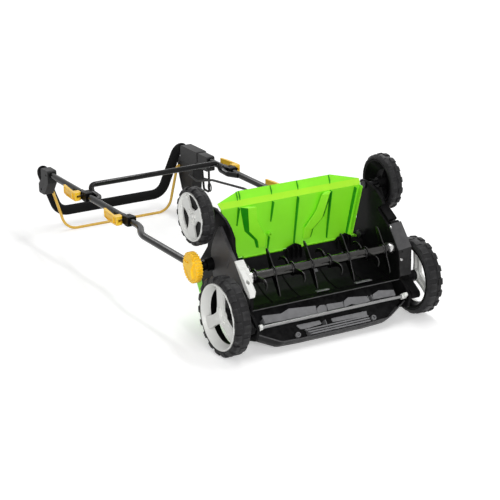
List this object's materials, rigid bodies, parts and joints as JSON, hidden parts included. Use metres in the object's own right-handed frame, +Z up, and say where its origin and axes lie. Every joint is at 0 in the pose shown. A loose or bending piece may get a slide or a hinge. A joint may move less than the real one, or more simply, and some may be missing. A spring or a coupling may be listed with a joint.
{
  "type": "electric lawn aerator",
  "caption": "Electric lawn aerator with bladed rotor, ribbed rear flap, height setting front axle, four wheels, folding clamped tube handle and bail switch, lying on its nose",
  "frame": {"origin": "centre of the bounding box in x and y, on the floor the machine lies on", "axes": "+X to the right hand side of the machine, +Y along the handle away from the deck, +Z up; the machine is tipped forward on its nose so its underside faces -Y and up"},
  "size_m": [0.576, 1.2783, 0.3756],
  "materials": {
    "deck": "moulded black plastic, satin",
    "nose": "moulded dark plastic, satin",
    "green": "lime green moulded plastic",
    "yellow": "warm yellow moulded plastic",
    "white": "off-white moulded plastic",
    "tyre": "soft black tread blocks",
    "steel": "bright turned steel",
    "blade": "dark coated sheet steel",
    "tube": "gloss black coated tube",
    "foam": "matte black foam sleeve",
    "bail": "mustard coated wire",
    "motor": "dark grey can",
    "belt": "ribbed rubber belt",
    "cable": "round black lead",
    "switch": "textured black plastic"
  },
  "bodies": {
    "chassis": {"chassis_hood": "deck", "side_plate_left": "deck", "side_plate_right": "deck", "nose_shell": "nose", "front_grille": "nose", "motor_cover": "green", "motor_housing": "motor", "bearing_bracket": "white", "bearing_left": "steel", "bearing_right": "steel", "belt_cover": "deck", "drive_belt": "belt", "rear_stub_left": "steel", "rear_stub_right": "steel"},
    "motor_rotor": {"motor_shaft": "steel"},
    "rotor": {"rotor_tube": "blade", "rotor_pulley": "blade", "blade_1": "blade", "blade_2": "blade", "blade_3": "blade", "blade_4": "blade", "blade_5": "blade", "blade_6": "blade", "blade_7": "blade", "blade_8": "blade"},
    "depth_carriage": {"depth_rod": "steel", "depth_crank_left": "white", "depth_crank_right": "white", "depth_arm_left": "deck", "depth_arm_right": "deck"},
    "flap": {"rear_flap": "green"},
    "lower_handle": {"lower_tube_left": "tube", "lower_tube_right": "tube", "lower_clamp_left": "switch", "lower_clamp_right": "switch"},
    "middle_handle": {"middle_frame": "tube", "upper_clamp_left": "switch", "upper_clamp_right": "switch"},
    "upper_handle": {"upper_tube": "tube", "foam_grip": "foam", "bail_pivot_left": "switch", "switch_box": "switch", "cable_hook": "switch", "motor_cable": "cable"},
    "bail": {"bail_bar": "bail"},
    "button": {"lock_button": "yellow"},
    "front_wheel_left": {"front_hub_left": "white", "front_tyre_left": "tyre"},
    "rear_wheel_left": {"rear_hub_left": "white", "rear_tyre_left": "tyre"},
    "clamp_knob_left": {"knob_left": "yellow"},
    "lower_lever_left": {"lower_cam_left": "yellow"},
    "upper_lever_left": {"upper_cam_left": "yellow"},
    "front_wheel_right": {"front_hub_right": "white", "front_tyre_right": "tyre"},
    "rear_wheel_right": {"rear_hub_right": "white", "rear_tyre_right": "tyre"},
    "clamp_knob_right": {"knob_right": "yellow"},
    "lower_lever_right": {"lower_cam_right": "yellow"},
    "upper_lever_right": {"upper_cam_right": "yellow"}
  },
  "joints": [
    {"name": "rotor_spin", "type": "hinge", "parent": "chassis", "child": "rotor", "pos_m": [0, -0.5344, 0.17485], "axis": [1, 0, 0], "continuous": true},
    {"name": "motor_spin", "type": "hinge", "parent": "chassis", "child": "motor_rotor", "pos_m": [0.15, -0.38067, 0.09511], "axis": [1, 0, 0], "continuous": true},
    {"name": "depth_set", "type": "hinge", "parent": "chassis", "child": "depth_carriage", "pos_m": [0, -0.59107, 0.06792], "axis": [1, 0, 0], "range_deg": [-20, 0]},
    {"name": "flap_hinge", "type": "hinge", "parent": "chassis", "child": "flap", "pos_m": [0, -0.39081, 0.17409], "axis": [-1, 0, 0], "range_deg": [0, 60]},
    {"name": "handle_fold", "type": "hinge", "parent": "chassis", "child": "lower_handle", "pos_m": [0, -0.40604, 0.17901], "axis": [-1, 0, 0], "range_deg": [0, 100], "deforming": ["motor_cable"]},
    {"name": "middle_fold", "type": "hinge", "parent": "lower_handle", "child": "middle_handle", "pos_m": [0, 0.0558, 0.17587], "axis": [1, 0, 0], "range_deg": [0, 100], "deforming": ["motor_cable"]},
    {"name": "upper_fold", "type": "hinge", "parent": "middle_handle", "child": "upper_handle", "pos_m": [0, 0.31076, 0.18054], "axis": [-1, 0, 0], "range_deg": [0, 100], "deforming": ["motor_cable"]},
    {"name": "bail_squeeze", "type": "hinge", "parent": "upper_handle", "child": "bail", "pos_m": [0, 0.58366, 0.13353], "axis": [1, 0, 0], "range_deg": [0, 14], "stiffness_Nm_per_rad": 0.4, "springref_deg": -20.05},
    {"name": "button_press", "type": "slide", "parent": "upper_handle", "child": "button", "axis": [-1, 0, 0], "range_m": [0, 0.004], "stiffness_N_per_m": 300, "springref_m": -0.003},
    {"name": "front_wheel_spin_left", "type": "hinge", "parent": "depth_carriage", "child": "front_wheel_left", "pos_m": [-0.2665, -0.5431, 0.09625], "axis": [1, 0, 0], "continuous": true},
    {"name": "rear_wheel_spin_left", "type": "hinge", "parent": "chassis", "child": "rear_wheel_left", "pos_m": [-0.2625, -0.41044, 0.305], "axis": [1, 0, 0], "continuous": true},
    {"name": "knob_turn_left", "type": "hinge", "parent": "lower_handle", "child": "clamp_knob_left", "pos_m": [-0.27, -0.40604, 0.17901], "axis": [1, 0, 0], "continuous": true},
    {"name": "lower_lever_turn_left", "type": "hinge", "parent": "lower_handle", "child": "lower_lever_left", "pos_m": [-0.2463, 0.0558, 0.17587], "axis": [0, -0.0183, 0.9998], "range_deg": [0, 90]},
    {"name": "upper_lever_turn_left", "type": "hinge", "parent": "middle_handle", "child": "upper_lever_left", "pos_m": [-0.2463, 0.31076, 0.18054], "axis": [0, -0.0183, 0.9998], "range_deg": [0, 90]},
    {"name": "front_wheel_spin_right", "type": "hinge", "parent": "depth_carriage", "child": "front_wheel_right", "pos_m": [0.2665, -0.5431, 0.09625], "axis": [1, 0, 0], "continuous": true},
    {"name": "rear_wheel_spin_right", "type": "hinge", "parent": "chassis", "child": "rear_wheel_right", "pos_m": [0.2625, -0.41044, 0.305], "axis": [1, 0, 0], "continuous": true},
    {"name": "knob_turn_right", "type": "hinge", "parent": "lower_handle", "child": "clamp_knob_right", "pos_m": [0.27, -0.40604, 0.17901], "axis": [1, 0, 0], "continuous": true},
    {"name": "lower_lever_turn_right", "type": "hinge", "parent": "lower_handle", "child": "lower_lever_right", "pos_m": [0.2463, 0.0558, 0.17587], "axis": [0, 0.0183, -0.9998], "range_deg": [0, 90]},
    {"name": "upper_lever_turn_right", "type": "hinge", "parent": "middle_handle", "child": "upper_lever_right", "pos_m": [0.2463, 0.31076, 0.18054], "axis": [0, 0.0183, -0.9998], "range_deg": [0, 90]}
  ],
  "couplings": [
    {"joint": "motor_spin", "follows": "rotor_spin", "ratio": 1.7222}
  ]
}
